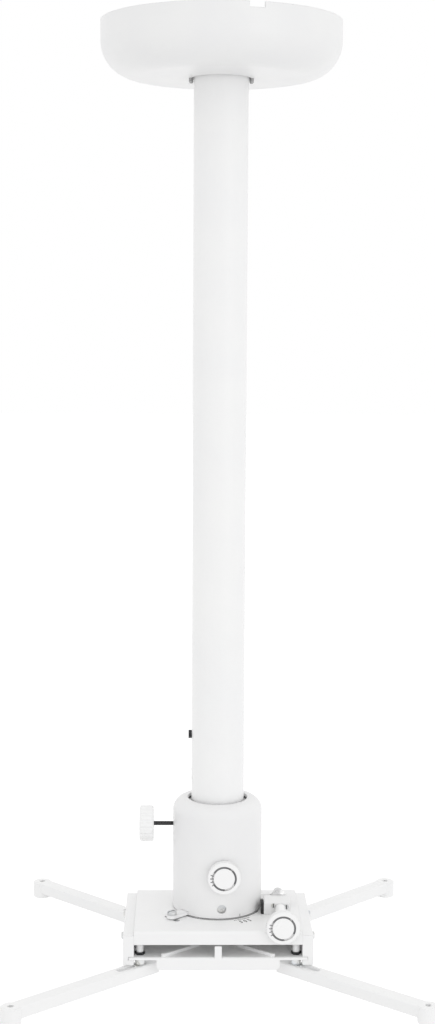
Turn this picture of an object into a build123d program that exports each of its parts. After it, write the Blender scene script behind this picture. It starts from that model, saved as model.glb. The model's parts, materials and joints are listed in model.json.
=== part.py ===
import os
from math import atan2, cos, degrees, hypot, pi, radians, sin, tan
from build123d import *

# Units are millimetres, +Z is up, the ceiling is the plane z = 0 and the column axis is the Z axis.
# The front of the mount faces -Y.

# Column
tube_d = 50.0
tube_wall = 2.5
bush_wall = 2.0
bush_h = 14.0
bush_lip = 2.0
inner_wall = 2.0
inner_len = 400.0
tube_into_housing = 10.0
guide_len = 30.0
guide_inset = 5.0
clamp_above_housing = 61.0
clamp_r = 2.5
clamp_head_w = 7.0
clamp_head_t = 3.0
port_above_housing = 23.0
port_d = 11.0
port_angle = 188.0

# Ceiling plate and tube collar
ceiling_d = 150.0
ceiling_t = 4.0
ceiling_pcd = 120.0
ceiling_hole_d = 7.0
ceiling_holes = 4
collar_wall = 5.0
collar_h = 30.0
cross_r = 3.0
cross_head_w = 10.0
cross_head_t = 4.0
cross_nut_t = 5.0
cross_end = 8.0

# Canopy
canopy_d = 220.0
canopy_h = 50.0
canopy_wall = 2.5
canopy_corner_r = 32.0
canopy_gap = 2.0
notch_w = 14.0
notch_h = 5.0
notch_angle = -75.0
ear_r = 2.4
ear_out = 0.6
grip_w = 7.0
grip_h = 8.0

# Head housing
drop = 722.0
housing_h = 106.0
housing_wall = 3.0
shoulder_r = 12.0
mouth_gap = 3.4
mouth_flat = 2.1
base_t = 14.0
base_screw_rise = 9.0
base_screw_r = 2.0
base_screw_head_r = 4.2
base_screw_head_t = 2.4
base_screw_sink = 3.6
base_screw_grip = 9.0
base_screw_key = 4.0
base_screw_angle = -85.0
base_screws_count = 3

# Swivel, tilt and roll mechanism
thumb_drop = 26.4
seat_t = 10.0
seat_plug = 20.0
seat_wall = 6.0
hub_wall = 3.7
hub_skirt = 8.0
cap_t = 3.5
shroud_wall = 4.0
shroud_drop = 2.4
gimbal_drop = 38.5
ring_wall = 5.0
ring_h = 14.0
ring_gap = 2.0
boss_r = 6.0
pin_r = 3.0
pin_bite = 6.0
module = 1.0
tilt_teeth = 40
tilt_sector = 38.0
tilt_sector_t = 7.0
worm_r = 6.0
worm_half = 8.5
shaft_r = 3.0
shaft_collar = 2.0
tilt_x = 5.7
lug_t = 4.2

# Knobs
knob_r = 15.5
knob_t = 7.0
knob_edge = 0.8
knob_seat = 3.0
knob_off = 1.5
knob_ring_r = 10.8
knob_ring_w = 1.8
knob_ring_d = 2.2
knob_play = 2.5
thumb_r = 17.0
thumb_t = 13.6
thumb_edge = 1.5
thumb_out = 32.0
thumb_thread_r = 1.9
thumb_play = 4.0
thumb_skin = 2.0
thumb_flutes = 16
thumb_flute_r = 2.0
thumb_flute_d = 0.8

# Head plate and yaw drive
plate_x = 78.0
plate_front = 73.0
plate_back = 43.0
plate_t = 3.0
plate_bend = 3.0
lip_h = 12.7
lip_t = 2.5
washer_t = 1.0
washer_in = 14.0
yaw_teeth = 105
yaw_worm_r = 7.0
yaw_range = 6.0
yaw_rise = 5.8
sector_t = 4.0
sector_spare = 4.0
window_half = 9.0
block_front = 28.0
block_len = 21.0
block_w = 25.0
block_share = 15.5
block_h = 11.5
cover_in = 9.0
cover_out = 3.6
cover_drop = 2.8
cover_step = 1.3
cover_screw_r = 1.3
cover_screw_len = 8.0
cover_head_r = 2.2
cover_head_t = 1.4
pocket_len = 11.0
rear_half = 5.0
rear_t = 6.0
lock_r = 58.0
lock_angle = 222.0
lock_screw_r = 2.5
lock_head_r = 4.6
lock_head_t = 3.5
lock_lug_t = 3.0
lock_lug_w = 5.0
lock_nut_w = 8.0
lock_nut_t = 4.0
pivot_r = 5.0
pivot_head_r = 9.0
pivot_head_t = 5.0
pivot_nut_w = 17.0
pivot_nut_t = 7.0
pivot_end = 2.0

# Rails and slide plate
rail_w = 10.0
rail_drop = 4.0
rail_h = 28.0
rail_bite = 5.0
rail_round = 0.8
rail_screw_inset = 15.0
rail_screw_pitch = 55.0
rail_screw_drop = 9.0
rail_screw_r = 2.0
rail_screw_head_r = 3.5
rail_screw_head_t = 2.2
slide_drop = 24.5
slide_t = 2.5
slide_front = 74.0
slide_back = 74.0
slide_lip_x = 57.0
slide_lip_h = 12.0
slide_lip_round = 4.0
slide_bend = 2.0
rib_w = 3.0
rib_h = 3.0
rib_run = 44.0
rib_x = 34.9
rib_y = 58.5
rib_angle = 40.0
tab_w = 6.6
tab_h = 10.5
tab_t = 2.0

# Arms
pivot_x = 72.5
pivot_front = 64.0
pivot_back = 62.0
foot_x = 182.5
foot_front = 160.0
foot_back = 166.0
foot_r = 9.5
foot_h = 16.0
foot_hole_r = 2.65
foot_edge = 0.8
arm_w = 15.0
arm_h = 10.5
arm_t = 2.0
arm_tail = 17.0
arm_round = 1.5
arm_travel = 20.0
spacer_r = 4.8
spacer_h = 6.8
arm_bolt_r = 2.5
arm_bolt_head_r = 4.4
arm_bolt_head_t = 3.0
arm_nut_w = 8.0
arm_nut_t = 2.5
arm_cap_r = 3.3
arm_cap_skin = 1.5
arm_cap_round = 1.0
key_len = 14.0
key_w = 6.4

# Clearances
run_gap = 0.08
slip_gap = 0.3
face_gap = 0.1
backlash = 0.25
flank = 20.0

# Radii of the column, hub, gimbal and housing
tube_r = tube_d / 2
tube_in = tube_r - tube_wall
inner_r = tube_in - bush_wall
inner_in = inner_r - inner_wall
collar_r = tube_r + collar_wall
mouth_r = tube_r + mouth_gap
house_r = mouth_r + mouth_flat + shoulder_r
house_in = house_r - housing_wall
seat_r = inner_r + bush_wall
hub_in = seat_r + slip_gap
hub_r = hub_in + hub_wall
ring_in = hub_r + ring_gap
ring_r = ring_in + ring_wall

# Levels from the ceiling down
z_collar = -ceiling_t - collar_h
z_cross = -ceiling_t - collar_h / 2
z_house = -drop
z_base = z_house - housing_h
z_tube_end = z_house - tube_into_housing
z_clamp = z_house + clamp_above_housing
z_port = z_house + port_above_housing
z_thumb = z_house - thumb_drop
z_seat_top = z_thumb + seat_t / 2
z_seat_bot = z_thumb - seat_t / 2
z_gimbal = z_house - gimbal_drop
z_tilt = z_gimbal - module * tilt_teeth / 2 - worm_r
z_plate = z_base - washer_t
z_lip = z_plate - lip_h
z_yaw = z_plate + yaw_rise
z_slide = z_plate - slide_drop
z_slide_bot = z_slide - slide_t
z_spacer = z_slide_bot - spacer_h
z_arm = z_spacer - slip_gap
yaw_x = module * yaw_teeth / 2 + yaw_worm_r


def rod_z(r, z0, z1, x=0.0, y=0.0):
    return Pos(x, y, (z0 + z1) / 2) * Cylinder(r, abs(z1 - z0))


def rod_x(r, x0, x1, y=0.0, z=0.0):
    return Pos((x0 + x1) / 2, y, z) * Rot(0, 90, 0) * Cylinder(r, abs(x1 - x0))


def rod_y(r, y0, y1, x=0.0, z=0.0):
    return Pos(x, (y0 + y1) / 2, z) * Rot(90, 0, 0) * Cylinder(r, abs(y1 - y0))


def ring_z(r_out, r_in, z0, z1):
    return rod_z(r_out, z0, z1) - rod_z(r_in, z0, z1)


def block(x0, x1, y0, y1, z0, z1):
    middle = Pos((x0 + x1) / 2, (y0 + y1) / 2, (z0 + z1) / 2)
    return middle * Box(abs(x1 - x0), abs(y1 - y0), abs(z1 - z0))


def hex_prism(across, length):
    return extrude(RegularPolygon(across / 2, 6, major_radius=False), length)


def hex_z(across, z0, z1, x=0.0, y=0.0):
    return Pos(x, y, min(z0, z1)) * hex_prism(across, abs(z1 - z0))


def hex_x(across, x0, x1, y=0.0, z=0.0):
    return Pos(min(x0, x1), y, z) * Rot(0, 90, 0) * hex_prism(across, abs(x1 - x0))


def joined(shapes):
    whole = shapes[0]
    for shape in shapes[1:]:
        whole += shape
    return whole


def fan(r_in, r_out, z0, z1, middle, half):
    # Part of a flat ring between two angles
    start = radians(middle - half)
    stop = radians(middle + half)
    mid = radians(middle)
    inner = ThreePointArc(*[(r_in * cos(a), r_in * sin(a)) for a in (start, mid, stop)])
    outer = ThreePointArc(*[(r_out * cos(a), r_out * sin(a)) for a in (start, mid, stop)])
    outline = [inner, outer, Line(inner @ 0, outer @ 0), Line(inner @ 1, outer @ 1)]
    return Pos(0, 0, min(z0, z1)) * extrude(make_face(outline), abs(z1 - z0))


def arc_slot(r, half_w, z0, z1, middle, half):
    slot = fan(r - half_w, r + half_w, z0, z1, middle, half)
    for side in (-1, 1):
        a = radians(middle + side * half)
        slot += rod_z(half_w, z0, z1, r * cos(a), r * sin(a))
    return slot


def tooth_points(teeth, half_angle):
    # Toothed arc round the origin, with one tooth centred on the +X axis
    pitch_r = module * teeth / 2
    tip = pitch_r + module
    root = pitch_r - 1.2 * module
    half_tooth = pi * module / 4 - backlash / 2
    step = 2 * pi / teeth
    count = int(radians(half_angle) / step)
    points = []
    for k in range(-count, count + 1):
        for r, side in ((root, -1), (tip, -1), (tip, 1), (root, 1)):
            width = half_tooth - (r - pitch_r) * tan(radians(flank))
            a = k * step + side * width / pitch_r
            points.append((r * cos(a), r * sin(a)))
    return points


def toothed_sector(teeth, half_angle, root_x, root_half, thick):
    points = [(root_x, -root_half)] + tooth_points(teeth, half_angle) + [(root_x, root_half)]
    return extrude(make_face(Polyline(*points, close=True)), thick)


def worm(pitch_radius, half_len):
    # Right-handed worm along +Z, with a gap between threads facing +X at z = 0
    lead = pi * module
    depth = 1.5 * module
    half_thread = pi * module / 4 - backlash / 2
    wide = half_thread + depth * tan(radians(flank))
    thin = half_thread - module * tan(radians(flank))
    height = (2 * int(half_len / lead) - 1) * lead
    path = Helix(pitch=lead, height=height, radius=pitch_radius, center=(0, 0, -height / 2))
    profile = Polyline((-depth, -wide), (module, -thin), (module, thin), (-depth, wide), close=True)
    face = Plane(origin=path @ 0, x_dir=(1, 0, 0), z_dir=path % 0) * make_face(profile)
    return Cylinder(pitch_radius - 1.2 * module, 2 * half_len) + sweep(face, path, is_frenet=True)


def dial(y_back, x, z):
    # Adjusting knob facing -Y, with a ring groove in its face
    y_front = y_back - knob_t
    disc = rod_y(knob_r, y_front, y_back, x, z)
    disc = chamfer(disc.edges().filter_by(GeomType.CIRCLE), knob_edge)
    groove = rod_y(knob_ring_r + knob_ring_w / 2, y_front, y_front + knob_ring_d, x, z)
    groove -= rod_y(knob_ring_r - knob_ring_w / 2, y_front, y_front + knob_ring_d, x, z)
    return disc - groove - rod_y(shaft_r, y_back - knob_seat, y_back, x, z)


# Ceiling plate, collar and cross bolt
ceiling_plate = rod_z(ceiling_d / 2, -ceiling_t, 0)
with PolarLocations(ceiling_pcd / 2, ceiling_holes, start_angle=45) as hole_ring:
    for spot in hole_ring.locations:
        ceiling_plate -= spot * Cylinder(ceiling_hole_d / 2, 3 * ceiling_t)
cross_hole = rod_x(cross_r + slip_gap, -2 * collar_r, 2 * collar_r, 0, z_cross)
tube_collar = ring_z(collar_r, tube_r, -ceiling_t, z_collar) - cross_hole
collar_bolt = rod_x(cross_r, -collar_r, collar_r + cross_end, 0, z_cross)
collar_bolt += hex_x(cross_head_w, -collar_r - cross_head_t, -collar_r, 0, z_cross)
collar_nut = hex_x(cross_head_w, collar_r, collar_r + cross_nut_t, 0, z_cross)
collar_nut -= rod_x(cross_r, collar_r, collar_r + cross_end, 0, z_cross)

# Outer tube, its end bush and the height clamp bolt
outer_tube = ring_z(tube_r, tube_in, -ceiling_t, z_tube_end) - cross_hole
outer_tube -= rod_x(clamp_r, -2 * tube_r, 0, 0, z_clamp)
outer_tube -= Pos(0, 0, z_port) * Rot(0, 0, port_angle) * rod_x(port_d / 2, 0, 2 * tube_r)
z_bush = z_tube_end - bush_lip
tube_end_bush = rod_z(tube_in, z_tube_end, z_tube_end + bush_h) + rod_z(tube_r, z_tube_end, z_bush)
tube_end_bush -= rod_z(inner_r + slip_gap, z_bush, z_tube_end + bush_h)
clamp_bolt = rod_x(clamp_r, -tube_r, -inner_r - slip_gap, 0, z_clamp)
clamp_bolt += hex_x(clamp_head_w, -tube_r - clamp_head_t, -tube_r, 0, z_clamp)


def bowl(r, depth, corner, hole):
    with BuildSketch(Plane.XZ) as section:
        with BuildLine():
            Polyline((hole, -depth), (hole, 0), (r, 0), (r, -depth + corner))
            RadiusArc((r, -depth + corner), (r - corner, -depth), corner)
            Line((r - corner, -depth), (hole, -depth))
        make_face()
    return revolve(section.sketch, Axis.Z)


# Canopy and its grip ring
canopy_r = canopy_d / 2
canopy_in = canopy_r - canopy_wall
canopy_floor = -canopy_h + canopy_wall
canopy_hole = tube_r + canopy_gap
canopy = bowl(canopy_r, canopy_h, canopy_corner_r, canopy_hole)
canopy -= bowl(canopy_in, -canopy_floor, canopy_corner_r - canopy_wall, canopy_hole - canopy_gap)
notch = block(canopy_in - notch_w, canopy_r + notch_w, -notch_w / 2, notch_w / 2, -notch_h, notch_h)
canopy -= Rot(0, 0, notch_angle) * notch
ear_x = canopy_hole + ear_out
ears = joined([rod_z(ear_r, -canopy_h, canopy_floor + grip_h, side * ear_x) for side in (-1, 1)])
canopy -= ears
canopy_grip = ring_z(canopy_hole + grip_w, tube_r + slip_gap, canopy_floor, canopy_floor + grip_h)
canopy_grip -= ears

# Drop tube, its upper guide and the swivel seat at its foot
inner_top = z_seat_top + inner_len
guide_top = inner_top - guide_inset
inner_tube = ring_z(inner_r, inner_in, z_seat_top, inner_top)
tube_guide = ring_z(tube_in - slip_gap, inner_r, guide_top, guide_top - guide_len)
swivel_seat = rod_z(seat_r, z_seat_top, z_seat_bot) + rod_z(inner_in, z_seat_top, z_seat_top + seat_plug)
swivel_seat -= rod_z(inner_in - seat_wall, z_seat_bot, z_seat_top + seat_plug)

# Swivel hub with the tilt sector, its cap and the shroud seen in the housing mouth
hub_top = z_seat_top + face_gap
swivel_hub = rod_z(hub_r, hub_top, z_gimbal - hub_skirt)
swivel_hub -= rod_z(hub_in, z_seat_bot - face_gap, hub_top)
swivel_hub -= rod_x(thumb_thread_r + run_gap, -2 * hub_r, 0, 0, z_thumb)
for side in (-1, 1):
    pin_hole = rod_x(pin_r + run_gap, side * (hub_r - pin_bite - face_gap), side * 2 * hub_r, 0, z_gimbal)
    swivel_hub -= pin_hole
tilt_plate = toothed_sector(tilt_teeth, tilt_sector, hub_skirt / 2, hub_skirt, tilt_sector_t)
swivel_hub += Pos(tilt_x - tilt_sector_t / 2, 0, z_gimbal) * Rot(0, 90, 0) * tilt_plate
cap_top = hub_top + cap_t
swivel_cap = ring_z(hub_r, inner_r + slip_gap, hub_top, cap_top)
shroud_in = tube_r + 2 * slip_gap
shroud_top = z_house - housing_wall - shroud_drop
swivel_shroud = ring_z(shroud_in + shroud_wall, shroud_in, cap_top, shroud_top)

# Thumb screw with a fluted head
thumb_end = -house_r - thumb_out
thumb_face = thumb_end + thumb_t
thumb_stud = rod_x(thumb_thread_r, thumb_end + thumb_skin, -seat_r - slip_gap, 0, z_thumb)
thumb_knob = rod_x(thumb_r, thumb_end, thumb_face, 0, z_thumb)
thumb_knob = chamfer(thumb_knob.edges().filter_by(GeomType.CIRCLE), thumb_edge)
for k in range(thumb_flutes):
    turn = 2 * pi * k / thumb_flutes
    reach = thumb_r + thumb_flute_r - thumb_flute_d
    flute = rod_x(thumb_flute_r, thumb_end, thumb_face, reach * cos(turn), z_thumb + reach * sin(turn))
    thumb_knob -= flute
thumb_knob -= thumb_stud

# Gimbal ring with the bearings of the tilt worm, and the tilt pins
ring_top = z_gimbal + ring_h / 2
ring_bot = z_gimbal - ring_h / 2
gimbal_ring = ring_z(ring_r, ring_in, ring_top, ring_bot)
for side in (-1, 1):
    lug_in = side * (ring_r - lug_t)
    gimbal_ring += block(tilt_x - boss_r, tilt_x + boss_r, lug_in, side * ring_r, z_tilt, z_gimbal - pin_r)
    gimbal_ring += rod_y(boss_r, lug_in, side * ring_r, tilt_x, z_tilt)
gimbal_ring -= rod_y(shaft_r + run_gap, -2 * ring_r, 2 * ring_r, tilt_x, z_tilt)
gimbal_ring -= rod_y(pin_r + run_gap, -2 * ring_r, 2 * ring_r, 0, z_gimbal)
gimbal_ring -= rod_x(pin_r, -2 * ring_r, 2 * ring_r, 0, z_gimbal)
pin_in = hub_r - pin_bite
tilt_pins = joined([rod_x(pin_r, side * pin_in, side * ring_r, 0, z_gimbal) for side in (-1, 1)])

# Tilt worm and knob
tilt_back = -house_r - knob_off
collar_out = ring_r + shaft_collar
tilt_worm = Pos(tilt_x, 0, z_tilt) * Rot(-90, 0, 0) * Rot(0, 0, -90) * worm(worm_r, worm_half)
tilt_worm += rod_y(shaft_r, tilt_back - knob_seat, collar_out, tilt_x, z_tilt)
tilt_worm += rod_y(shaft_r + shaft_collar, ring_r + slip_gap, collar_out, tilt_x, z_tilt)
tilt_boss = rod_y(shaft_r + shaft_collar, tilt_back, -ring_r - slip_gap, tilt_x, z_tilt)
tilt_knob = dial(tilt_back, tilt_x, z_tilt) + (tilt_boss - tilt_worm)


def shell(r, top, bottom, corner, hole):
    with BuildSketch(Plane.XZ) as section:
        with BuildLine():
            Polyline((r, top - corner), (r, bottom), (hole, bottom), (hole, top), (r - corner, top))
            RadiusArc((r - corner, top), (r, top - corner), corner)
        make_face()
    return revolve(section.sketch, Axis.Z)


# Housing shell with its roll pin bosses
housing = shell(house_r, z_house, z_base, shoulder_r, mouth_r)
housing -= shell(house_in, z_house - housing_wall, z_base, shoulder_r - housing_wall, mouth_r - mouth_flat)
pin_out = house_in + housing_wall / 3
for side in (-1, 1):
    housing += rod_y(boss_r, side * (ring_r + face_gap + mouth_flat), side * pin_out, 0, z_gimbal)
    housing -= rod_y(pin_r, side * ring_r, side * pin_out, 0, z_gimbal)
housing -= rod_x(thumb_thread_r + thumb_play, -2 * house_r, -ring_r, 0, z_thumb)
housing -= rod_y(shaft_r + shaft_collar + knob_play, -2 * house_r, -ring_r, tilt_x, z_tilt)
roll_in = ring_in + slip_gap
roll_pins = joined([rod_y(pin_r, side * roll_in, side * pin_out, 0, z_gimbal) for side in (-1, 1)])

# Base of the housing with the yaw sector
sector_half = yaw_range + sector_spare
sector_bot = z_yaw - sector_t / 2
sector_top = z_yaw + sector_t / 2
housing -= fan(house_in - 1, house_r + 1, z_base - 1, sector_top + slip_gap, 0, sector_half + 2)
housing_base = rod_z(house_in, z_base, z_base + base_t)
root_x = house_in - housing_wall
yaw_sector = toothed_sector(yaw_teeth, sector_half, root_x, root_x * tan(radians(sector_half)), sector_t)
housing_base += Pos(0, 0, sector_bot) * yaw_sector
housing_base -= rod_z(pivot_r, z_base, z_base + base_t)

# Lug of the yaw lock, its screw and nut; the screw runs in a curved slot of the plate
lug_top = z_base + lock_lug_t
lock_turn = Rot(0, 0, lock_angle)
lug_bar = block(0, lock_r, -lock_lug_w, lock_lug_w, z_base, lug_top)
lock_shank = rod_z(lock_screw_r, z_plate - plate_t - face_gap - lock_nut_t, lug_top, lock_r)
lock_lug = lug_bar + rod_z(lock_lug_w, z_base, lug_top, lock_r) - rod_z(house_in, z_base, lug_top)
lock_lug = lock_turn * (lock_lug - lock_shank)
lock_screw = lock_turn * (lock_shank + rod_z(lock_head_r, lug_top, lug_top + lock_head_t, lock_r))
nut_top = z_plate - plate_t - face_gap
lock_nut = lock_turn * (hex_z(lock_nut_w, nut_top - lock_nut_t, nut_top, lock_r) - lock_shank)
lug_room = lock_lug_w + slip_gap
housing -= lock_turn * block(house_in - 1, house_r + 1, -lug_room, lug_room, z_base - 1, lug_top + slip_gap)

# Screws that hold the shell to its base, sunk through the wall
screw_z = z_base + base_screw_rise
sink_in = house_r - base_screw_sink - base_screw_head_t
sink_out = house_r - base_screw_sink
sink_r = base_screw_head_r + face_gap
base_screw = rod_x(base_screw_r, sink_in - base_screw_grip, sink_in, 0, screw_z)
base_screw += rod_x(base_screw_head_r, sink_in, sink_out, 0, screw_z)
base_screw -= hex_x(base_screw_key, sink_in + base_screw_head_t / 3, sink_out, 0, screw_z)
screw_list = []
for k in range(base_screws_count):
    turn = Rot(0, 0, base_screw_angle + 360 * k / base_screws_count)
    housing -= turn * rod_x(sink_r, house_in - 1, house_r + 1, 0, screw_z)
    housing_base -= turn * rod_x(base_screw_r, sink_in - base_screw_grip, sink_in, 0, screw_z)
    housing_base -= turn * rod_x(sink_r, sink_in, house_r, 0, screw_z)
    screw_list.append(turn * base_screw)
base_screws = joined(screw_list)

# Yaw pivot bolt and nut
nut_bot = z_base + base_t
bolt_top = nut_bot + pivot_nut_t + pivot_end
bolt_head = z_plate - plate_t - slip_gap
pivot_bolt = rod_z(pivot_r, bolt_head, bolt_top) + rod_z(pivot_head_r, bolt_head, bolt_head - pivot_head_t)
pivot_nut = hex_z(pivot_nut_w, nut_bot, nut_bot + pivot_nut_t) - rod_z(pivot_r, nut_bot, bolt_top)

# Head plate, a folded sheet with lips all round
head_plate = block(-plate_x, plate_x, -plate_front, plate_back, z_lip, z_plate)
head_plate = fillet(head_plate.edges().filter_by(Axis.X).group_by(Axis.Z)[-1], plate_bend)
lip_x = plate_x - lip_t
head_plate -= block(-lip_x, lip_x, -plate_front + lip_t, plate_back - lip_t, z_lip, z_plate - plate_t)
head_plate -= rod_z(pivot_r + run_gap, z_plate, z_plate - plate_t)
worm_room = yaw_worm_r + 2 * module
window = block(yaw_x - worm_room, yaw_x + worm_room, -window_half, window_half, z_plate, z_plate - plate_t)
head_plate -= window
lock_slot = lock_screw_r + slip_gap
head_plate -= arc_slot(lock_r, lock_slot, z_plate, z_plate - plate_t, lock_angle, yaw_range + 0.5)
yaw_washer = ring_z(root_x, washer_in, z_plate, z_base - face_gap)

# Rails with a groove for the slide plate, and their screws
rail_top = z_plate - rail_drop
rail_bot = rail_top - rail_h
rail_out = plate_x + rail_w
rail_screw_z = z_plate - rail_screw_drop
rail_screw_y = -plate_front + rail_screw_inset
rail_screw_ys = (rail_screw_y, rail_screw_y + rail_screw_pitch)


def rail(side):
    groove_top = z_slide + slip_gap
    groove_bot = z_slide_bot - slip_gap
    bar = block(side * plate_x, side * rail_out, -plate_front, plate_back, rail_bot, rail_top)
    bar = fillet(bar.edges().filter_by(Axis.Y), rail_round)
    groove_x = side * (plate_x + rail_bite)
    return bar - block(0, groove_x, -plate_front, plate_back, groove_bot, groove_top)


rails = {side: rail(side) for side in (-1, 1)}
screw_list = []
rail_head = rail_out + rail_screw_head_t
for side in (-1, 1):
    for y in rail_screw_ys:
        shank = rod_x(rail_screw_r, side * lip_x, side * rail_out, y, rail_screw_z)
        head = rod_x(rail_screw_head_r, side * rail_out, side * rail_head, y, rail_screw_z)
        head_plate -= shank
        rails[side] -= shank
        screw_list.append(shank + head)
rail_screws = joined(screw_list)

# Bearings of the yaw worm
block_x0 = yaw_x - block_share
block_x1 = block_x0 + block_w
block_back = -block_front + block_len
block_top = z_plate + block_h
worm_block = block(block_x0, block_x1, -block_front, block_back, z_plate, block_top)
worm_block = fillet(worm_block.edges().group_by(Axis.Z)[-1], 1.2)
pocket_x1 = yaw_x - yaw_worm_r + 3 * module
worm_block -= block(block_x0, pocket_x1, block_back - pocket_len, block_back, z_plate, sector_top + module)
worm_block -= rod_y(shaft_r + run_gap, -block_front, block_back, yaw_x, z_yaw)
rear_y = window_half + 2
rear_end = rear_y + rear_t
rear_bearing = block(yaw_x - rear_half, yaw_x + rear_half, rear_y, rear_end, z_plate, z_yaw)
rear_top = rod_y(rear_half, rear_y, rear_end, yaw_x, z_yaw)
rear_bearing += rear_top & block(0, 2 * yaw_x, rear_y, rear_end, z_yaw, z_yaw + 2 * rear_half)
rear_bearing -= rod_y(shaft_r + run_gap, rear_y, rear_end, yaw_x, z_yaw)
cover_z = block_top - cover_drop
cover_spots = ((block_x0 + cover_in, cover_z), (block_x1 - cover_out, cover_z - cover_step))
screw_list = []
for x, z in cover_spots:
    shank = rod_y(cover_screw_r, -block_front, -block_front + cover_screw_len, x, z)
    worm_block -= shank
    screw_list.append(shank + rod_y(cover_head_r, -block_front - cover_head_t, -block_front, x, z))
block_screws = joined(screw_list)

# Yaw worm and knob
yaw_back = -plate_front - knob_off
yaw_half = window_half - 2.5 * module
yaw_worm = Pos(yaw_x, 0, z_yaw) * Rot(-90, 0, 0) * Rot(0, 0, 180) * worm(yaw_worm_r, yaw_half)
yaw_worm += rod_y(shaft_r, yaw_back - knob_seat, rear_end + shaft_collar, yaw_x, z_yaw)
boss_end = -block_front - cover_head_t - slip_gap
yaw_boss = rod_y(shaft_r + shaft_collar, yaw_back, boss_end, yaw_x, z_yaw)
yaw_knob = dial(yaw_back, yaw_x, z_yaw) + (yaw_boss - yaw_worm)

# Slide plate with its lips, tab and stiffening ribs
slide_x = plate_x + rail_bite - slip_gap
slide_plate = block(-slide_x, slide_x, -slide_front, slide_back, z_slide_bot, z_slide)
for y0, y1 in ((-slide_front, -slide_front + slide_t), (slide_back - slide_t, slide_back)):
    lip = block(-slide_lip_x, slide_lip_x, y0, y1, z_slide - slide_lip_h, z_slide)
    slide_plate += fillet(lip.edges().filter_by(Axis.Y).group_by(Axis.Z)[0], slide_lip_round)
slide_plate = fillet(slide_plate.edges().filter_by(Axis.X).group_by(Axis.Z)[-1], slide_bend)
slide_plate += block(-tab_w / 2, tab_w / 2, -slide_front, -slide_front + tab_t, z_slide_bot, z_slide + tab_h)
rib = block(-rib_run / 2, rib_run / 2, -rib_w / 2, rib_w / 2, z_slide, z_slide + rib_h)
for sx in (-1, 1):
    for sy in (-1, 1):
        slide_plate += Pos(sx * rib_x, sy * rib_y, 0) * Rot(0, 0, rib_angle * sx * sy) * rib

# Pivots of the arms: bolt, nut and spacer at each corner of the slide plate
corners = {
    "front_left": (-1, -pivot_front, -foot_front),
    "front_right": (1, -pivot_front, -foot_front),
    "back_left": (-1, pivot_back, foot_back),
    "back_right": (1, pivot_back, foot_back),
}
head_z = z_arm - arm_t - 2 * slip_gap
nut_end = z_slide + arm_nut_t
cap_end = z_slide + tab_h
bolt_end = cap_end - arm_cap_skin
spacer_list = []
bolt_list = []
nut_list = []
cap_list = []
for side, y, foot_y in corners.values():
    x = side * pivot_x
    shank = rod_z(arm_bolt_r, head_z, bolt_end, x, y)
    slide_plate -= shank
    spacer_list.append(rod_z(spacer_r, z_slide_bot, z_spacer, x, y) - shank)
    bolt_list.append(shank + rod_z(arm_bolt_head_r, head_z, head_z - arm_bolt_head_t, x, y))
    nut_list.append(hex_z(arm_nut_w, z_slide, nut_end, x, y) - shank)
    post = rod_z(arm_cap_r, nut_end, cap_end, x, y)
    cap_list.append(fillet(post.edges().group_by(Axis.Z)[-1], arm_cap_round) - shank)


key_reach = (key_len - key_w) / 2


def round_bar(x0, x1, half, z0, z1):
    return block(x0, x1, -half, half, z0, z1) + rod_z(half, z0, z1, x0) + rod_z(half, z0, z1, x1)


def arm(length):
    # Channel along +X from its pivot at the origin, its top face at z = 0, with a foot sleeve at its end
    half = arm_w / 2
    end = length - foot_hole_r
    channel = block(-arm_tail, end, -half, half, -arm_h, 0)
    channel = fillet(channel.edges().filter_by(Axis.X).group_by(Axis.Z)[-1], arm_round)
    channel -= block(-arm_tail, end, -half + arm_t, half - arm_t, -arm_h, -arm_t)
    sleeve = rod_z(foot_r, -foot_h, 0, length, 0)
    sleeve = chamfer(sleeve.edges().filter_by(GeomType.CIRCLE), foot_edge)
    slot = round_bar(-key_reach, arm_travel + key_reach, key_w / 2 + slip_gap, -arm_t, 0)
    return channel + sleeve - rod_z(foot_hole_r, -foot_h, 0, length, 0) - slot


def arm_key():
    top = slip_gap - face_gap
    bottom = -arm_t - slip_gap
    bar = round_bar(-key_reach, key_reach, key_w / 2, bottom, top)
    return bar - rod_z(arm_bolt_r + run_gap, bottom, top)


nodes = {
    "ceiling_plate": ceiling_plate,
    "tube_collar": tube_collar,
    "collar_bolt": collar_bolt,
    "collar_nut": collar_nut,
    "outer_tube": outer_tube,
    "tube_end_bush": tube_end_bush,
    "height_clamp_bolt": clamp_bolt,
    "canopy": canopy,
    "canopy_grip": canopy_grip,
    "inner_tube": inner_tube,
    "tube_guide": tube_guide,
    "swivel_seat": swivel_seat,
    "swivel_hub": swivel_hub,
    "swivel_cap": swivel_cap,
    "swivel_shroud": swivel_shroud,
    "thumb_stud": thumb_stud,
    "thumb_knob": thumb_knob,
    "gimbal_ring": gimbal_ring,
    "tilt_pins": tilt_pins,
    "tilt_worm": tilt_worm,
    "tilt_knob": tilt_knob,
    "housing": housing,
    "roll_pins": roll_pins,
    "housing_base": housing_base,
    "base_screws": base_screws,
    "pivot_bolt": pivot_bolt,
    "pivot_nut": pivot_nut,
    "lock_lug": lock_lug,
    "yaw_lock_screw": lock_screw,
    "yaw_lock_nut": lock_nut,
    "head_plate": head_plate,
    "yaw_washer": yaw_washer,
    "left_rail": rails[-1],
    "right_rail": rails[1],
    "rail_screws": rail_screws,
    "worm_block": worm_block,
    "rear_bearing": rear_bearing,
    "block_screws": block_screws,
    "yaw_worm": yaw_worm,
    "yaw_knob": yaw_knob,
    "slide_plate": slide_plate,
    "arm_spacers": joined(spacer_list),
    "arm_bolts": joined(bolt_list),
    "arm_nuts": joined(nut_list),
    "arm_caps": joined(cap_list),
}
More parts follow.
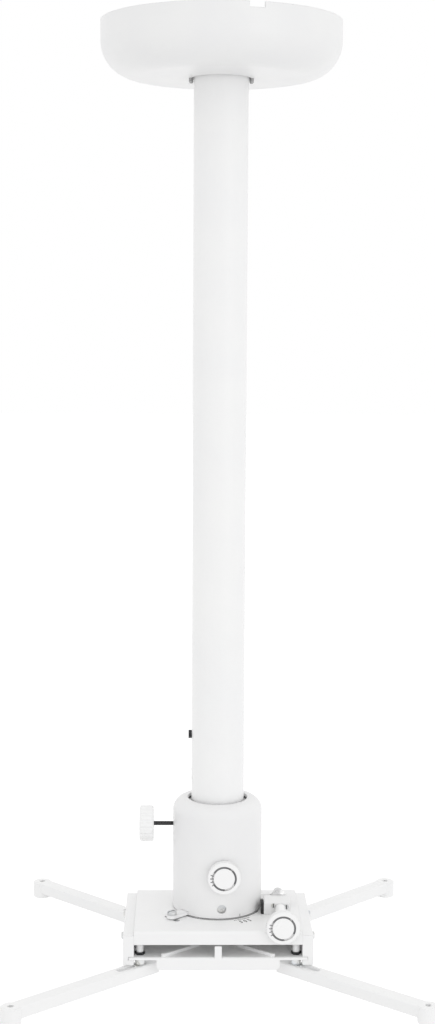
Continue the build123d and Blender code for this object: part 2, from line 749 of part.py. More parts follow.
for place, (side, y, foot_y) in corners.items():
    run_x = side * (foot_x - pivot_x)
    run_y = foot_y - y
    seat = Pos(side * pivot_x, y, z_arm) * Rot(0, 0, degrees(atan2(run_y, run_x)))
    nodes["arm_" + place] = seat * arm(hypot(run_x, run_y))
    nodes["arm_key_" + place] = seat * arm_key()

os.makedirs("parts", exist_ok=True)
for name, shape in nodes.items():
    export_step(shape, "parts/" + name + ".step")
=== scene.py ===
import bpy, bmesh, json
from math import cos, pi, radians, sin
from mathutils import Matrix, Vector


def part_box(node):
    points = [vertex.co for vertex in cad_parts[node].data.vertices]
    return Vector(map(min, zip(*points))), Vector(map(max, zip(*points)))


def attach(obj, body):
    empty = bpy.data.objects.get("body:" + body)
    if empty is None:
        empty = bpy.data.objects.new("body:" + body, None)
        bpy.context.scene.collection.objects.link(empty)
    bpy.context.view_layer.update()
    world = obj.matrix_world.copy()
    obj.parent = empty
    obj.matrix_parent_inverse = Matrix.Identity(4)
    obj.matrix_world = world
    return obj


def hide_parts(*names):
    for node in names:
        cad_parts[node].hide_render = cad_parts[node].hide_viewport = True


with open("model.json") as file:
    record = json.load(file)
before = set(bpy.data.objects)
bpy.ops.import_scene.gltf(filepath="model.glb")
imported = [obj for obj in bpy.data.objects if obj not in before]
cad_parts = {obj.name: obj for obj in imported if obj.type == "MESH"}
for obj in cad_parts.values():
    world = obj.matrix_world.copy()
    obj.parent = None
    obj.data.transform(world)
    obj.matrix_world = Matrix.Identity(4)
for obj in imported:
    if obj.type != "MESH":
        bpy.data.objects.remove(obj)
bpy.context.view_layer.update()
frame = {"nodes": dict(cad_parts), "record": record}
scene = bpy.context.scene
mm = 0.001


# small helpers for node trees
def addNode(tree, kind, **values):
    made = tree.nodes.new(kind)
    for key, value in values.items():
        if hasattr(made, key):
            setattr(made, key, value)
        else:
            made.inputs[key.replace("_", " ")].default_value = value
    return made


def wire(tree, source, target):
    tree.links.new(source, target)


def newGroup(name, ins, outs):
    tree = bpy.data.node_groups.new(name, "ShaderNodeTree")
    for label, value in ins:
        if label == "Vector":
            tree.interface.new_socket(label, in_out="INPUT", socket_type="NodeSocketVector")
        else:
            tree.interface.new_socket(label, in_out="INPUT", socket_type="NodeSocketFloat").default_value = value
    for label, kind in outs:
        tree.interface.new_socket(label, in_out="OUTPUT", socket_type="NodeSocket" + kind)
    return tree, tree.nodes.new("NodeGroupInput"), tree.nodes.new("NodeGroupOutput")


# shared surface effects
def coatGrainGroup():
    tree, ins, outs = newGroup("coatGrain", [("Vector", None), ("Scale", 900.0), ("Fine", 2600.0)], [("Height",
            "Float")])
    broad = addNode(tree, "ShaderNodeTexNoise", Detail=2.0, Roughness=0.5)
    fine = addNode(tree, "ShaderNodeTexNoise", Detail=3.0, Roughness=0.6)
    blend = addNode(tree, "ShaderNodeMix", data_type="FLOAT")
    blend.inputs["Factor"].default_value = 0.35
    wire(tree, ins.outputs["Vector"], broad.inputs["Vector"])
    wire(tree, ins.outputs["Vector"], fine.inputs["Vector"])
    wire(tree, ins.outputs["Scale"], broad.inputs["Scale"])
    wire(tree, ins.outputs["Fine"], fine.inputs["Scale"])
    wire(tree, broad.outputs["Fac"], blend.inputs["A"])
    wire(tree, fine.outputs["Fac"], blend.inputs["B"])
    wire(tree, blend.outputs["Result"], outs.inputs["Height"])
    return tree


def toneDriftGroup():
    tree, ins, outs = newGroup("toneDrift", [("Vector", None), ("Scale", 18.0), ("Low", 0.35), ("High", 0.7)],
            [("Mask", "Float")])
    noise = addNode(tree, "ShaderNodeTexNoise", Detail=4.0, Roughness=0.55, Distortion=0.4)
    spread = addNode(tree, "ShaderNodeMapRange")
    wire(tree, ins.outputs["Vector"], noise.inputs["Vector"])
    wire(tree, ins.outputs["Scale"], noise.inputs["Scale"])
    wire(tree, noise.outputs["Fac"], spread.inputs["Value"])
    wire(tree, ins.outputs["Low"], spread.inputs["From Min"])
    wire(tree, ins.outputs["High"], spread.inputs["From Max"])
    wire(tree, spread.outputs["Result"], outs.inputs["Mask"])
    return tree


def softEdgeGroup():
    # rounds the look of sharp edges and marks them, for a painted edge highlight on coats and rubbed plating on
    # metals
    tree, ins, outs = newGroup("softEdge", [("Radius", 0.0005), ("Gain", 6.0)], [("Normal", "Vector"), ("Mask",
            "Float")])
    bevel = addNode(tree, "ShaderNodeBevel", samples=4)
    surface = addNode(tree, "ShaderNodeNewGeometry")
    dot = addNode(tree, "ShaderNodeVectorMath", operation="DOT_PRODUCT")
    gap = addNode(tree, "ShaderNodeMath", operation="SUBTRACT", use_clamp=True)
    gap.inputs[0].default_value = 1.0
    gain = addNode(tree, "ShaderNodeMath", operation="MULTIPLY", use_clamp=True)
    wire(tree, ins.outputs["Radius"], bevel.inputs["Radius"])
    wire(tree, bevel.outputs["Normal"], outs.inputs["Normal"])
    wire(tree, bevel.outputs["Normal"], dot.inputs[0])
    wire(tree, surface.outputs["True Normal"], dot.inputs[1])
    wire(tree, dot.outputs["Value"], gap.inputs[1])
    wire(tree, gap.outputs["Value"], gain.inputs[0])
    wire(tree, ins.outputs["Gain"], gain.inputs[1])
    wire(tree, gain.outputs["Value"], outs.inputs["Mask"])
    return tree


def settledDustGroup():
    # faint dust on faces that look up
    tree, ins, outs = newGroup("settledDust", [("Vector", None), ("Scale", 160.0), ("Amount", 0.2)], [("Mask",
            "Float")])
    surface = addNode(tree, "ShaderNodeNewGeometry")
    axes = addNode(tree, "ShaderNodeSeparateXYZ")
    up = addNode(tree, "ShaderNodeMapRange", From_Min=0.55, From_Max=1.0)
    noise = addNode(tree, "ShaderNodeTexNoise", Detail=5.0, Roughness=0.7)
    specks = addNode(tree, "ShaderNodeMath", operation="MULTIPLY")
    level = addNode(tree, "ShaderNodeMath", operation="MULTIPLY", use_clamp=True)
    wire(tree, surface.outputs["Normal"], axes.inputs["Vector"])
    wire(tree, axes.outputs["Z"], up.inputs["Value"])
    wire(tree, ins.outputs["Vector"], noise.inputs["Vector"])
    wire(tree, ins.outputs["Scale"], noise.inputs["Scale"])
    wire(tree, up.outputs["Result"], specks.inputs[0])
    wire(tree, noise.outputs["Fac"], specks.inputs[1])
    wire(tree, specks.outputs["Value"], level.inputs[0])
    wire(tree, ins.outputs["Amount"], level.inputs[1])
    wire(tree, level.outputs["Value"], outs.inputs["Mask"])
    return tree


def toolLinesGroup():
    # fine lines left by turning, drawing or brushing, along one axis
    tree, ins, outs = newGroup("toolLines", [("Vector", None), ("Along", 60.0), ("Across", 2400.0)], [("Height",
            "Float")])
    axes = addNode(tree, "ShaderNodeSeparateXYZ")
    stretch = addNode(tree, "ShaderNodeCombineXYZ")
    noise = addNode(tree, "ShaderNodeTexNoise", Detail=3.0, Roughness=0.6, Scale=1.0)
    wire(tree, ins.outputs["Vector"], axes.inputs["Vector"])
    for axis, rate in (("X", "Along"), ("Y", "Along"), ("Z", "Across")):
        times = addNode(tree, "ShaderNodeMath", operation="MULTIPLY")
        wire(tree, axes.outputs[axis], times.inputs[0])
        wire(tree, ins.outputs[rate], times.inputs[1])
        wire(tree, times.outputs["Value"], stretch.inputs[axis])
    wire(tree, stretch.outputs["Vector"], noise.inputs["Vector"])
    wire(tree, noise.outputs["Fac"], outs.inputs["Height"])
    return tree


coatGrain = coatGrainGroup()
toneDrift = toneDriftGroup()
softEdge = softEdgeGroup()
settledDust = settledDustGroup()
toolLines = toolLinesGroup()
print("surface groups built")


def placeGroup(tree, group, place, **values):
    made = tree.nodes.new("ShaderNodeGroup")
    made.node_tree = group
    for key, value in values.items():
        made.inputs[key].default_value = value
    if "Vector" in made.inputs:
        wire(tree, place, made.inputs["Vector"])
    return made


def mixColour(tree, mask, low, high):
    blend = addNode(tree, "ShaderNodeMix", data_type="RGBA")
    wire(tree, mask, blend.inputs["Factor"])
    for side, colour in ((6, low), (7, high)):
        if isinstance(colour, tuple):
            blend.inputs[side].default_value = colour + (1.0,)
        else:
            wire(tree, colour, blend.inputs[side])
    return blend.outputs[2]


def spread(tree, value, low, high):
    ramp = addNode(tree, "ShaderNodeMapRange", To_Min=low, To_Max=high)
    wire(tree, value, ramp.inputs["Value"])
    return ramp.outputs["Result"]


def startFinish(name):
    finish = bpy.data.materials.new(name)
    finish.use_nodes = True
    tree = finish.node_tree
    shader = tree.nodes["Principled BSDF"]
    place = tree.nodes.new("ShaderNodeTexCoord").outputs["Object"]
    return finish, tree, shader, place


def setBump(tree, shader, height, strength, distance, edge=None):
    bump = addNode(tree, "ShaderNodeBump", Strength=strength, Distance=distance)
    wire(tree, height, bump.inputs["Height"])
    if edge is not None:
        wire(tree, edge, bump.inputs["Normal"])
    wire(tree, bump.outputs["Normal"], shader.inputs["Normal"])


# finishes
# the edge colours of the powder and cast looks are a painted edge highlight
powderLook = {"low": (0.882, 0.883, 0.886), "high": (0.904, 0.904, 0.901), "edge": (0.915, 0.915, 0.915),
        "dust": (0.8, 0.79, 0.77),
              "grain": 950.0, "bump": 0.12, "roughLow": 0.36, "roughHigh": 0.46, "edgeRadius": 0.0006}
castLook = {"low": (0.836, 0.836, 0.841), "high": (0.86, 0.86, 0.857), "edge": (0.88, 0.88, 0.88), "dust": (0.78,
        0.77, 0.75),
            "grain": 700.0, "bump": 0.16, "roughLow": 0.38, "roughHigh": 0.5, "edgeRadius": 0.0008}
knobLook = {"low": (0.902, 0.902, 0.904), "high": (0.922, 0.922, 0.919), "dust": (0.82, 0.81, 0.79),
            "grain": 1600.0, "bump": 0.05, "roughLow": 0.26, "roughHigh": 0.36, "edgeRadius": 0.0006}
mouldLook = {"low": (0.846, 0.846, 0.85), "high": (0.87, 0.87, 0.866), "dust": (0.78, 0.77, 0.75),
             "grain": 1800.0, "bump": 0.05, "roughLow": 0.3, "roughHigh": 0.38, "edgeRadius": 0.0008}


def coatedFinish(name, look):
    finish, tree, shader, place = startFinish(name)
    drift = placeGroup(tree, toneDrift, place, Scale=16.0)
    edge = placeGroup(tree, softEdge, place, Radius=look["edgeRadius"], Gain=4.0)
    dust = placeGroup(tree, settledDust, place, Amount=0.22)
    grain = placeGroup(tree, coatGrain, place, Scale=look["grain"], Fine=look["grain"] * 3)
    colour = mixColour(tree, drift.outputs["Mask"], look["low"], look["high"])
    # coats turn lighter along edges: painted edge highlight
    if "edge" in look:
        colour = mixColour(tree, edge.outputs["Mask"], colour, look["edge"])
    colour = mixColour(tree, dust.outputs["Mask"], colour, look["dust"])
    wire(tree, colour, shader.inputs["Base Color"])
    rough = placeGroup(tree, toneDrift, place, Scale=55.0, Low=0.3, High=0.75)
    wire(tree, spread(tree, rough.outputs["Mask"], look["roughLow"], look["roughHigh"]), shader.inputs["Roughness"])
    setBump(tree, shader, grain.outputs["Height"], look["bump"], 0.0002, edge.outputs["Normal"])
    return finish


def metalFinish(name, low, high, rub, roughLow, roughHigh, along, across, metallic=1.0, driftScale=70.0,
        edgeRadius=0.0003):
    finish, tree, shader, place = startFinish(name)
    drift = placeGroup(tree, toneDrift, place, Scale=driftScale)
    lines = placeGroup(tree, toolLines, place, Along=along, Across=across)
    edge = placeGroup(tree, softEdge, place, Radius=edgeRadius, Gain=8.0)
    colour = mixColour(tree, drift.outputs["Mask"], low, high)
    colour = mixColour(tree, edge.outputs["Mask"], colour, rub)
    wire(tree, colour, shader.inputs["Base Color"])
    wire(tree, spread(tree, lines.outputs["Height"], roughLow, roughHigh), shader.inputs["Roughness"])
    shader.inputs["Metallic"].default_value = metallic
    setBump(tree, shader, lines.outputs["Height"], 0.12, 0.0001, edge.outputs["Normal"])
    return finish


def softFinish(name, low, high, roughLow, roughHigh, grainScale, bump, subsurface=0.0):
    finish, tree, shader, place = startFinish(name)
    drift = placeGroup(tree, toneDrift, place, Scale=40.0)
    grain = placeGroup(tree, coatGrain, place, Scale=grainScale, Fine=grainScale * 2.5)
    wire(tree, mixColour(tree, drift.outputs["Mask"], low, high), shader.inputs["Base Color"])
    wire(tree, spread(tree, grain.outputs["Height"], roughLow, roughHigh), shader.inputs["Roughness"])
    if subsurface:
        shader.inputs["Subsurface Weight"].default_value = subsurface
        shader.inputs["Subsurface Scale"].default_value = 0.002
    setBump(tree, shader, grain.outputs["Height"], bump, 0.0002)
    return finish


powderWhite = coatedFinish("powderWhite", powderLook)
castWhite = coatedFinish("castWhite", castLook)
knobWhite = coatedFinish("knobWhite", knobLook)
mouldedWhite = coatedFinish("mouldedWhite", mouldLook)
# black oxide of the thumb thread and other dark steel, also used as painted shade inside the cover screw slots
blackOxideAndShade = metalFinish("blackOxideAndShade", (0.018, 0.018, 0.02), (0.04, 0.04, 0.043), (0.16, 0.16, 0.165), 0.34, 0.5,
        300.0, 900.0, metallic=0.7)
zincPlate = metalFinish("zincPlate", (0.62, 0.64, 0.67), (0.74, 0.73, 0.69), (0.85, 0.85, 0.85), 0.22, 0.38, 220.0,
        1500.0)
machinedSteel = metalFinish("machinedSteel", (0.6, 0.6, 0.61), (0.7, 0.7, 0.69), (0.82, 0.82, 0.81), 0.2, 0.34, 40.0,
        3000.0)
# dark steel of the canopy grip screws, which also stands as painted shade of the gaps beside the tube
gapShadeSteel = metalFinish("gapShadeSteel", (0.32, 0.32, 0.325), (0.42, 0.42, 0.42), (0.55, 0.55, 0.54), 0.34, 0.5, 120.0,
        1200.0)
nylonNatural = softFinish("nylonNatural", (0.74, 0.72, 0.66), (0.82, 0.81, 0.76), 0.36, 0.5, 1200.0, 0.08,
        subsurface=0.15)
softRubber = softFinish("softRubber", (0.76, 0.76, 0.75), (0.82, 0.82, 0.81), 0.62, 0.8, 1500.0, 0.25)
# this dark finish serves the printed index mark, the knob marks, and the painted shade in the knob grooves
dialInkAndShade = softFinish("dialInkAndShade", (0.13, 0.13, 0.135), (0.2, 0.2, 0.205), 0.5, 0.65, 1600.0, 0.1)
# black finish of the wiper, which stands as painted shade of the gap beside the worm block
gapShadeRubber = softFinish("gapShadeRubber", (0.016, 0.016, 0.017), (0.03, 0.03, 0.031), 0.62, 0.8, 1500.0, 0.22)
# dark finish for the printed scale ticks and digits, also the painted shade line round the housing's foot
scaleInkAndShade = softFinish("scaleInkAndShade", (0.05, 0.05, 0.055), (0.11, 0.11, 0.115), 0.5, 0.65, 1600.0, 0.1)
slotFinish = {"white_powder": powderWhite, "white_plastic": mouldedWhite, "nylon": nylonNatural,
        "soft_rubber": softRubber,
              "dark_steel": blackOxideAndShade, "zinc_steel": zincPlate, "machined_steel": machinedSteel}
nodeFinish = {"housing": castWhite, "worm_block": castWhite, "tilt_knob": knobWhite, "yaw_knob": knobWhite,
        "thumb_knob": knobWhite}
slotOf = {item["node"]: item["material_slot"] for item in frame["record"]["subparts"]}
for nodeName, cadObject in frame["nodes"].items():
    finish = nodeFinish.get(nodeName, slotFinish[slotOf[nodeName]])
    for place in cadObject.material_slots:
        place.material = finish
    if not cadObject.material_slots:
        cadObject.data.materials.append(finish)
print("finishes placed on", len(slotOf), "nodes")


# pieces grown with geometry nodes at the vertices of a seed mesh
def startTree(name, ins):
    tree = bpy.data.node_groups.new(name, "GeometryNodeTree")
    tree.interface.new_socket("Geometry", in_out="INPUT", socket_type="NodeSocketGeometry")
    for label, kind, value in ins + [("Turn", "Vector", (0.0, 0.0, 0.0)), ("Finish", "Material", None)]:
        socket = tree.interface.new_socket(label, in_out="INPUT", socket_type="NodeSocket" + kind)
        if value is not None:
            socket.default_value = value
    tree.interface.new_socket("Geometry", in_out="OUTPUT", socket_type="NodeSocketGeometry")
    return tree, tree.nodes.new("NodeGroupInput"), tree.nodes.new("NodeGroupOutput")


def endTree(tree, ins, outs, unit, smooth=True):
    turn = addNode(tree, "GeometryNodeTransform")
    put = addNode(tree, "GeometryNodeInstanceOnPoints")
    real = addNode(tree, "GeometryNodeRealizeInstances")
    shade = addNode(tree, "GeometryNodeSetShadeSmooth")
    shade.inputs["Shade Smooth"].default_value = smooth
    paint = addNode(tree, "GeometryNodeSetMaterial")
    wire(tree, unit, turn.inputs["Geometry"])
    wire(tree, ins.outputs["Turn"], turn.inputs["Rotation"])
    wire(tree, ins.outputs["Geometry"], put.inputs["Points"])
    wire(tree, turn.outputs["Geometry"], put.inputs["Instance"])
    wire(tree, put.outputs["Instances"], real.inputs["Geometry"])
    wire(tree, real.outputs["Geometry"], shade.inputs["Geometry"])
    wire(tree, shade.outputs["Geometry"], paint.inputs["Geometry"])
    wire(tree, ins.outputs["Finish"], paint.inputs["Material"])
    wire(tree, paint.outputs["Geometry"], outs.inputs["Geometry"])
    return tree


def polar(tree, count, reach):
    # points on a circle, with the angle of each
    index = addNode(tree, "GeometryNodeInputIndex")
    step = addNode(tree, "ShaderNodeMath", operation="DIVIDE")
    step.inputs[0].default_value = 2 * pi
    angle = addNode(tree, "ShaderNodeMath", operation="MULTIPLY")
    heading = addNode(tree, "ShaderNodeCombineXYZ")
    ring = addNode(tree, "GeometryNodeMeshCircle")
    wire(tree, count, ring.inputs["Vertices"])
    wire(tree, reach, ring.inputs["Radius"])
    wire(tree, count, step.inputs[1])
    wire(tree, index.outputs["Index"], angle.inputs[0])
    wire(tree, step.outputs["Value"], angle.inputs[1])
    wire(tree, angle.outputs["Value"], heading.inputs["Z"])
    return ring.outputs["Mesh"], heading.outputs["Vector"]


def rimRidgesTree():
    tree, ins, outs = startTree("rimRidges", [("Reach", "Float", 0.015), ("Count", "Int", 48), ("Ridge", "Float",
            0.0004), ("Length", "Float", 0.005)])
    points, heading = polar(tree, ins.outputs["Count"], ins.outputs["Reach"])
    bar = addNode(tree, "GeometryNodeMeshCylinder", Vertices=6)
    put = addNode(tree, "GeometryNodeInstanceOnPoints")
    wire(tree, ins.outputs["Ridge"], bar.inputs["Radius"])
    wire(tree, ins.outputs["Length"], bar.inputs["Depth"])
    wire(tree, points, put.inputs["Points"])
    wire(tree, bar.outputs["Mesh"], put.inputs["Instance"])
    wire(tree, heading, put.inputs["Rotation"])
    return endTree(tree, ins, outs, put.outputs["Instances"], smooth=False)


def threadTree():
    tree, ins, outs = startTree("thread", [("Radius", "Float", 0.0025), ("Turns", "Float", 10.0), ("Length", "Float",
            0.008), ("Depth", "Float", 0.0003)])
    helix = addNode(tree, "GeometryNodeCurveSpiral", Resolution=20)
    profile = addNode(tree, "GeometryNodeCurvePrimitiveCircle", Resolution=6)
    skin = addNode(tree, "GeometryNodeCurveToMesh")
    skin.inputs["Fill Caps"].default_value = True
    wire(tree, ins.outputs["Turns"], helix.inputs["Rotations"])
    wire(tree, ins.outputs["Radius"], helix.inputs["Start Radius"])
    wire(tree, ins.outputs["Radius"], helix.inputs["End Radius"])
    wire(tree, ins.outputs["Length"], helix.inputs["Height"])
    wire(tree, ins.outputs["Depth"], profile.inputs["Radius"])
    wire(tree, helix.outputs["Curve"], skin.inputs["Curve"])
    wire(tree, profile.outputs["Curve"], skin.inputs["Profile Curve"])
    return endTree(tree, ins, outs, skin.outputs["Mesh"])


def weldBeadTree():
    tree, ins, outs = startTree("weldBead", [("Reach", "Float", 0.03), ("Count", "Int", 72), ("Bead", "Float",
            0.0022)])
    points, heading = polar(tree, ins.outputs["Count"], ins.outputs["Reach"])
    drop = addNode(tree, "GeometryNodeMeshIcoSphere", Subdivisions=2)
    put = addNode(tree, "GeometryNodeInstanceOnPoints", Scale=(1.0, 0.85, 0.8))
    wire(tree, ins.outputs["Bead"], drop.inputs["Radius"])
    wire(tree, points, put.inputs["Points"])
    wire(tree, drop.outputs["Mesh"], put.inputs["Instance"])
    wire(tree, heading, put.inputs["Rotation"])
    return endTree(tree, ins, outs, put.outputs["Instances"])


def slottedHeadTree():
    # screw head standing on +Z with a straight or crossed slot
    tree, ins, outs = startTree("slottedHead", [("Head", "Object", None), ("SlotLength", "Float", 0.004),
            ("SlotWidth", "Float", 0.0007),
                                                ("SlotDepth", "Float", 0.001), ("Top", "Float", 0.0014), ("Cross",
                                                "Float", 0.0)])
    head = addNode(tree, "GeometryNodeObjectInfo", transform_space="ORIGINAL")
    cut = addNode(tree, "GeometryNodeMeshBoolean", operation="DIFFERENCE")
    wire(tree, ins.outputs["Head"], head.inputs["Object"])
    wire(tree, head.outputs["Geometry"], cut.inputs["Mesh 1"])
    lift = addNode(tree, "ShaderNodeCombineXYZ")
    wire(tree, ins.outputs["Top"], lift.inputs["Z"])
    for turned in (False, True):
        size = addNode(tree, "ShaderNodeCombineXYZ")
        blade = addNode(tree, "GeometryNodeMeshCube")
        move = addNode(tree, "GeometryNodeTransform")
        across = ins.outputs["SlotLength"]
        if turned:
            scaled = addNode(tree, "ShaderNodeMath", operation="MULTIPLY")
            wire(tree, across, scaled.inputs[0])
            wire(tree, ins.outputs["Cross"], scaled.inputs[1])
            longest = addNode(tree, "ShaderNodeMath", operation="MAXIMUM")
            wire(tree, scaled.outputs["Value"], longest.inputs[0])
            wire(tree, ins.outputs["SlotWidth"], longest.inputs[1])
            across = longest.outputs["Value"]
        wire(tree, across, size.inputs["Y" if turned else "X"])
        wire(tree, ins.outputs["SlotWidth"], size.inputs["X" if turned else "Y"])
        double = addNode(tree, "ShaderNodeMath", operation="MULTIPLY")
        double.inputs[1].default_value = 2.0
        wire(tree, ins.outputs["SlotDepth"], double.inputs[0])
        wire(tree, double.outputs["Value"], size.inputs["Z"])
        wire(tree, size.outputs["Vector"], blade.inputs["Size"])
        wire(tree, blade.outputs["Mesh"], move.inputs["Geometry"])
        wire(tree, lift.outputs["Vector"], move.inputs["Translation"])
        wire(tree, move.outputs["Geometry"], cut.inputs["Mesh 2"])
    return endTree(tree, ins, outs, cut.outputs["Mesh"], smooth=False)


def arcTicksTree():
    # marks on an arc about Z, every so many of them longer
    tree, ins, outs = startTree("arcTicks", [("Reach", "Float", 0.05), ("Count", "Int", 13), ("Start", "Float", 0.0),
            ("Step", "Float", 0.03), ("Every", "Int", 3), ("Longer", "Float", 1.6),
                                             ("Width", "Float", 0.0004), ("Length", "Float", 0.002), ("Rise", "Float",
                                             0.0001)])
    index = addNode(tree, "GeometryNodeInputIndex")
    angle = addNode(tree, "ShaderNodeMath", operation="MULTIPLY_ADD")
    wire(tree, index.outputs["Index"], angle.inputs[0])
    wire(tree, ins.outputs["Step"], angle.inputs[1])
    wire(tree, ins.outputs["Start"], angle.inputs[2])
    spot = addNode(tree, "ShaderNodeCombineXYZ")
    for axis, wave in (("X", "COSINE"), ("Y", "SINE")):
        swing = addNode(tree, "ShaderNodeMath", operation=wave)
        reach = addNode(tree, "ShaderNodeMath", operation="MULTIPLY")
        wire(tree, angle.outputs["Value"], swing.inputs[0])
        wire(tree, swing.outputs["Value"], reach.inputs[0])
        wire(tree, ins.outputs["Reach"], reach.inputs[1])
        wire(tree, reach.outputs["Value"], spot.inputs[axis])
    heading = addNode(tree, "ShaderNodeCombineXYZ")
    wire(tree, angle.outputs["Value"], heading.inputs["Z"])
    rest = addNode(tree, "ShaderNodeMath", operation="MODULO")
    major = addNode(tree, "ShaderNodeMath", operation="LESS_THAN")
    major.inputs[1].default_value = 0.5
    longer = addNode(tree, "ShaderNodeMapRange", To_Min=1.0)
    wire(tree, ins.outputs["Longer"], longer.inputs["To Max"])
    grow = addNode(tree, "ShaderNodeCombineXYZ", Y=1.0, Z=1.0)
    wire(tree, index.outputs["Index"], rest.inputs[0])
    wire(tree, ins.outputs["Every"], rest.inputs[1])
    wire(tree, rest.outputs["Value"], major.inputs[0])
    wire(tree, major.outputs["Value"], longer.inputs["Value"])
    wire(tree, longer.outputs["Result"], grow.inputs["X"])
    points = addNode(tree, "GeometryNodePoints")
    size = addNode(tree, "ShaderNodeCombineXYZ")
    bar = addNode(tree, "GeometryNodeMeshCube")
    put = addNode(tree, "GeometryNodeInstanceOnPoints")
    wire(tree, ins.outputs["Count"], points.inputs["Count"])
    wire(tree, spot.outputs["Vector"], points.inputs["Position"])
    wire(tree, ins.outputs["Length"], size.inputs["X"])
    wire(tree, ins.outputs["Width"], size.inputs["Y"])
    wire(tree, ins.outputs["Rise"], size.inputs["Z"])
    wire(tree, size.outputs["Vector"], bar.inputs["Size"])
    wire(tree, points.outputs["Points"], put.inputs["Points"])
    wire(tree, bar.outputs["Mesh"], put.inputs["Instance"])
    wire(tree, heading.outputs["Vector"], put.inputs["Rotation"])
    wire(tree, grow.outputs["Vector"], put.inputs["Scale"])
    return endTree(tree, ins, outs, put.outputs["Instances"], smooth=False)


def plainMesh(name, points):
    mesh = bpy.data.meshes.new(name)
    mesh.from_pydata([tuple(p) for p in points], [], [])
    return mesh


def grow(name, tree, places, values, body, finish, slotName):
    piece = bpy.data.objects.new(name, plainMesh(name + "Seed", places))
    scene.collection.objects.link(piece)
    grower = piece.modifiers.new("grow", "NODES")
    grower.node_group = tree
    sockets = {item.name: item.identifier for item in tree.interface.items_tree if item.item_type == "SOCKET" and item.in_out == "INPUT"}
    for label, value in list(values.items()) + [("Finish", finish)]:
        grower[sockets[label]] = value
    bpy.context.view_layer.update()
    depsgraph = bpy.context.evaluated_depsgraph_get()
    mesh = bpy.data.meshes.new_from_object(piece.evaluated_get(depsgraph), depsgraph=depsgraph)
    piece.modifiers.remove(grower)
    piece.data = mesh
    mesh.name = name
    if not mesh.materials:
        mesh.materials.append(finish)
    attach(piece, body)
    print("grown", name, len(mesh.polygons), "faces")
    return piece


def turnedMesh(name, profile, steps=40):
    # closed solid turned about Z from (radius, height) pairs
    shape = bmesh.new()
    rings = []
    for radius, height in profile:
        if radius == 0:
            rings.append([shape.verts.new((0, 0, height))])
        else:
            rings.append([shape.verts.new((radius * cos(2 * pi * k / steps), radius * sin(2 * pi * k / steps),
                    height)) for k in range(steps)])
    for lower, upper in zip(rings, rings[1:]):
        for k in range(steps):
            n = (k + 1) % steps
            corners = [lower[k % len(lower)], lower[n % len(lower)], upper[n % len(upper)], upper[k % len(upper)]]
            shape.faces.new(list(dict.fromkeys(corners)))
    bmesh.ops.recalc_face_normals(shape, faces=shape.faces)
    mesh = bpy.data.meshes.new(name)
    shape.to_mesh(mesh)
    shape.free()
    return mesh


def addPiece(name, mesh, body, finish):
    piece = bpy.data.objects.new(name, mesh)
    scene.collection.objects.link(piece)
    if not mesh.materials:
        mesh.materials.append(finish)
    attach(piece, body)
    return piece


rimRidges = rimRidgesTree()
thread = threadTree()
weldBead = weldBeadTree()
slottedHead = slottedHeadTree()
arcTicks = arcTicksTree()

# adjusting knobs: ridged rim, dark arcs in the ring groove as painted shade of the groove, and four dark radial marks
# on the left of the face
dial = {"radius": 15.5 * mm, "thick": 7.0 * mm, "ridges": 60, "ridge": 0.42 * mm, "ringReach": 10.8 * mm,
        "ringWidth": 1.75 * mm, "ringDepth": 2.2 * mm,
        "arcs": ((57.0, 148.0), (217.0, 272.0), (-26.0, 40.0)), "arcStep": 3.0, "markReach": 11.6 * mm,
        "markLength": 3.2 * mm, "markWidth": 0.8 * mm,
        "markFirst": 164.0, "markStep": 15.5, "markCount": 4, "rise": 0.16 * mm}
frontTurn = (radians(90), 0.0, 0.0)
for name, body in (("tilt_knob", "tilt_drive"), ("yaw_knob", "yaw_drive")):
    low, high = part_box(name)
    face = ((low.x + high.x) / 2, low.y, (low.z + high.z) / 2)
    grow(name + ".ridges", rimRidges, [(face[0], low.y + dial["thick"] / 2, face[2])],
            {"Reach": dial["radius"] - 0.1 * mm, "Count": dial["ridges"], "Ridge": dial["ridge"],
         "Length": dial["thick"] - 2.2 * mm, "Turn": frontTurn}, body, knobWhite, "white_plastic")
    # the dark arcs fill the ring groove only where it lies in shade: painted shade
    for k, (first, last) in enumerate(dial["arcs"]):
        grow(name + ".arc%d" % k, arcTicks, [(face[0], low.y + dial["ringDepth"] / 2 + 0.1 * mm, face[2])],
                {"Reach": dial["ringReach"], "Count": round((last - first) / dial["arcStep"]) + 1,
             "Start": radians(first), "Step": radians(dial["arcStep"]), "Longer": 1.0,
             "Width": dial["ringReach"] * radians(dial["arcStep"]) * 1.08, "Length": dial["ringWidth"],
             "Rise": dial["ringDepth"], "Turn": frontTurn}, body, dialInkAndShade, "dark_steel")
    grow(name + ".marks", arcTicks, [face], {"Reach": dial["markReach"], "Count": dial["markCount"],
            "Start": radians(dial["markFirst"]), "Step": radians(dial["markStep"]),
         "Longer": 1.0, "Width": dial["markWidth"], "Length": dial["markLength"], "Rise": dial["rise"],
         "Turn": frontTurn}, body, dialInkAndShade, "dark_steel")

# thread of the thumb screw between its head and the housing
stud = {"pitch": 0.7 * mm, "depth": 0.26 * mm, "clear": 2.0 * mm}
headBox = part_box("thumb_knob")
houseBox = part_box("housing")
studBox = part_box("thumb_stud")
studLength = houseBox[0].x - stud["clear"] - headBox[1].x
studMiddle = ((studBox[0].y + studBox[1].y) / 2, (studBox[0].z + studBox[1].z) / 2)
grow("thumb_stud.thread", thread, [(headBox[1].x, studMiddle[0], studMiddle[1])],
        {"Radius": (studBox[1].z - studBox[0].z) / 2 - 0.05 * mm,
     "Turns": studLength / stud["pitch"], "Length": studLength, "Depth": stud["depth"], "Turn": (0.0, radians(90),
     0.0)}, "thumb_screw", blackOxideAndShade, "dark_steel")


def screwSource(name, profile):
    source = bpy.data.objects.new(name, turnedMesh(name, profile))
    scene.collection.objects.link(source)
    return source


